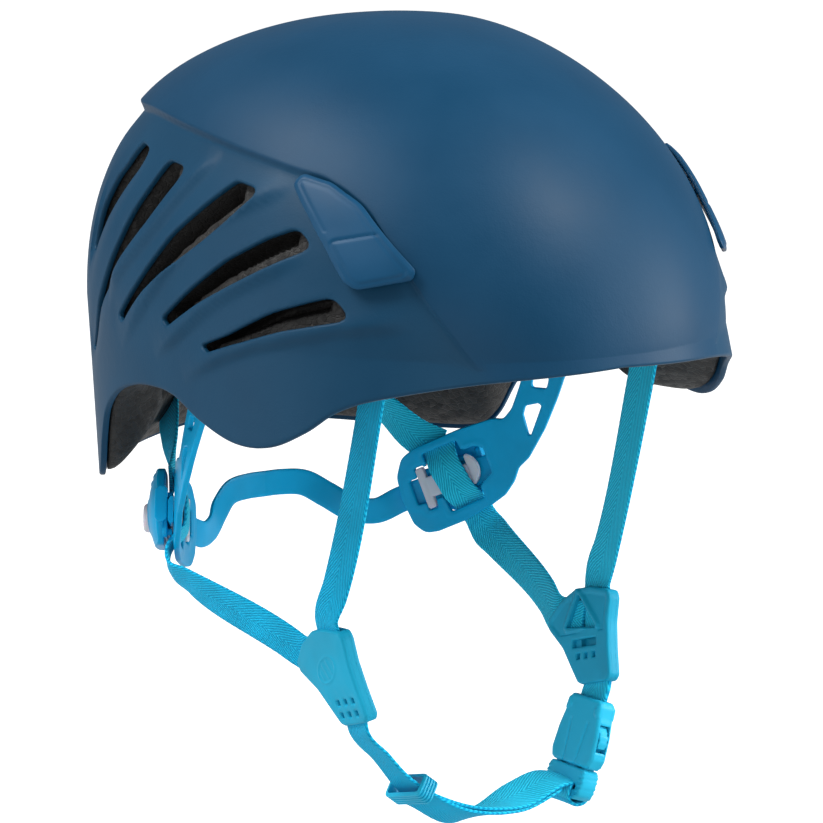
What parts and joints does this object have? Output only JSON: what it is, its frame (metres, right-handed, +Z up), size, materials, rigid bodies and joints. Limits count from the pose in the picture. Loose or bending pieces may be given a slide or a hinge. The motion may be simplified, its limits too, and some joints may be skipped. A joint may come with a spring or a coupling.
{
  "type": "climbing helmet",
  "caption": "Vented climbing helmet with a hard shell over a foam liner, headlamp clips, adjustable nape headband, webbing chin harness and side-release buckle.",
  "frame": {"origin": "centre of the head cavity at the height of the shell's widest plane", "axes": "+Z up, -Y forward, +X to the wearer's left"},
  "size_m": [0.209, 0.28, 0.2985],
  "materials": {
    "shell": "satin, fine grained",
    "crown_foam": "closed-cell foam",
    "side_foam": "beaded foam, matte",
    "clip": "satin",
    "pad": "knitted",
    "anchor": "matte",
    "webbing": "herringbone woven",
    "divider": "satin",
    "buckle": "satin",
    "headband": "satin",
    "adjuster": "satin",
    "lock": "satin, slightly translucent"
  },
  "bodies": {
    "helmet": {"shell": "shell", "crown_liner": "crown_foam", "side_liner": "side_foam", "clip_right": "clip", "clip_left": "clip", "front_pad": "pad", "crown_pad": "pad", "anchor_front_right": "anchor", "anchor_front_left": "anchor", "anchor_rear_right": "anchor", "anchor_rear_left": "anchor", "front_strap_right": "webbing", "front_strap_left": "webbing", "rear_strap_upper_right": "webbing", "rear_strap_upper_left": "webbing", "rear_strap_lower_right": "webbing", "rear_strap_lower_left": "webbing", "divider_right": "divider", "divider_left": "divider", "chin_strap": "webbing", "strap_tail": "webbing", "buckle_strap": "webbing", "buckle_female": "buckle", "arm_anchor_right": "anchor", "arm_anchor_left": "anchor"},
    "headband": {"side_plate_right": "headband", "side_plate_left": "headband", "nape_band": "headband", "strap_loop_right": "webbing", "strap_loop_left": "webbing", "lock_clip_right": "lock", "lock_clip_left": "lock"},
    "adjuster_right": {"adjuster_cap_right": "adjuster"},
    "adjuster_left": {"adjuster_cap_left": "adjuster"},
    "lock_right": {"lock_button_right": "lock"},
    "lock_left": {"lock_button_left": "lock"},
    "buckle": {"buckle_male": "buckle"},
    "prong_right": {"buckle_prong_right": "buckle"},
    "prong_left": {"buckle_prong_left": "buckle"},
    "keeper": {"strap_keeper": "buckle"}
  },
  "joints": [
    {"name": "headband_tilt", "type": "hinge", "parent": "helmet", "child": "headband", "pos_m": [0, 0.0012, -0.01814], "axis": [1, 0, 0], "range_deg": [-10, 4], "deforming": ["rear_strap_upper_right", "rear_strap_upper_left", "rear_strap_lower_right", "rear_strap_lower_left"]},
    {"name": "adjuster_slide_right", "type": "slide", "parent": "headband", "child": "adjuster_right", "axis": [0.5318, 0.7595, -0.3746], "range_m": [-0.008, 0.008], "deforming": ["nape_band"]},
    {"name": "adjuster_slide_left", "type": "slide", "parent": "headband", "child": "adjuster_left", "axis": [-0.5318, 0.7595, -0.3746], "range_m": [-0.008, 0.008], "deforming": ["nape_band"]},
    {"name": "lock_press_right", "type": "slide", "parent": "adjuster_right", "child": "lock_right", "axis": [0.8191, -0.5736, 0], "range_m": [0, 0.0015], "stiffness_N_per_m": 800, "springref_m": -0.0008},
    {"name": "lock_press_left", "type": "slide", "parent": "adjuster_left", "child": "lock_left", "axis": [-0.8191, -0.5736, 0], "range_m": [0, 0.0015], "stiffness_N_per_m": 800, "springref_m": -0.0008},
    {"name": "buckle_slide", "type": "slide", "parent": "helmet", "child": "buckle", "axis": [-0.3256, 0, -0.9455], "range_m": [0, 0.032], "deforming": ["chin_strap", "strap_tail", "buckle_prong_right", "buckle_prong_left"]},
    {"name": "prong_squeeze_left", "type": "hinge", "parent": "buckle", "child": "prong_left", "pos_m": [0.04346, -0.0521, -0.17572], "axis": [0.9455, 0, -0.3256], "range_deg": [0, 10], "stiffness_Nm_per_rad": 0.02},
    {"name": "prong_squeeze_right", "type": "hinge", "parent": "buckle", "child": "prong_right", "pos_m": [0.04346, -0.0679, -0.17572], "axis": [-0.9455, 0, 0.3256], "range_deg": [0, 10], "stiffness_Nm_per_rad": 0.02},
    {"name": "keeper_slide", "type": "slide", "parent": "helmet", "child": "keeper", "axis": [0.7836, -0.0326, -0.6204], "range_m": [-0.005, 0.005]}
  ],
  "couplings": [
    {"joint": "prong_squeeze_right", "follows": "prong_squeeze_left", "ratio": 1}
  ]
}
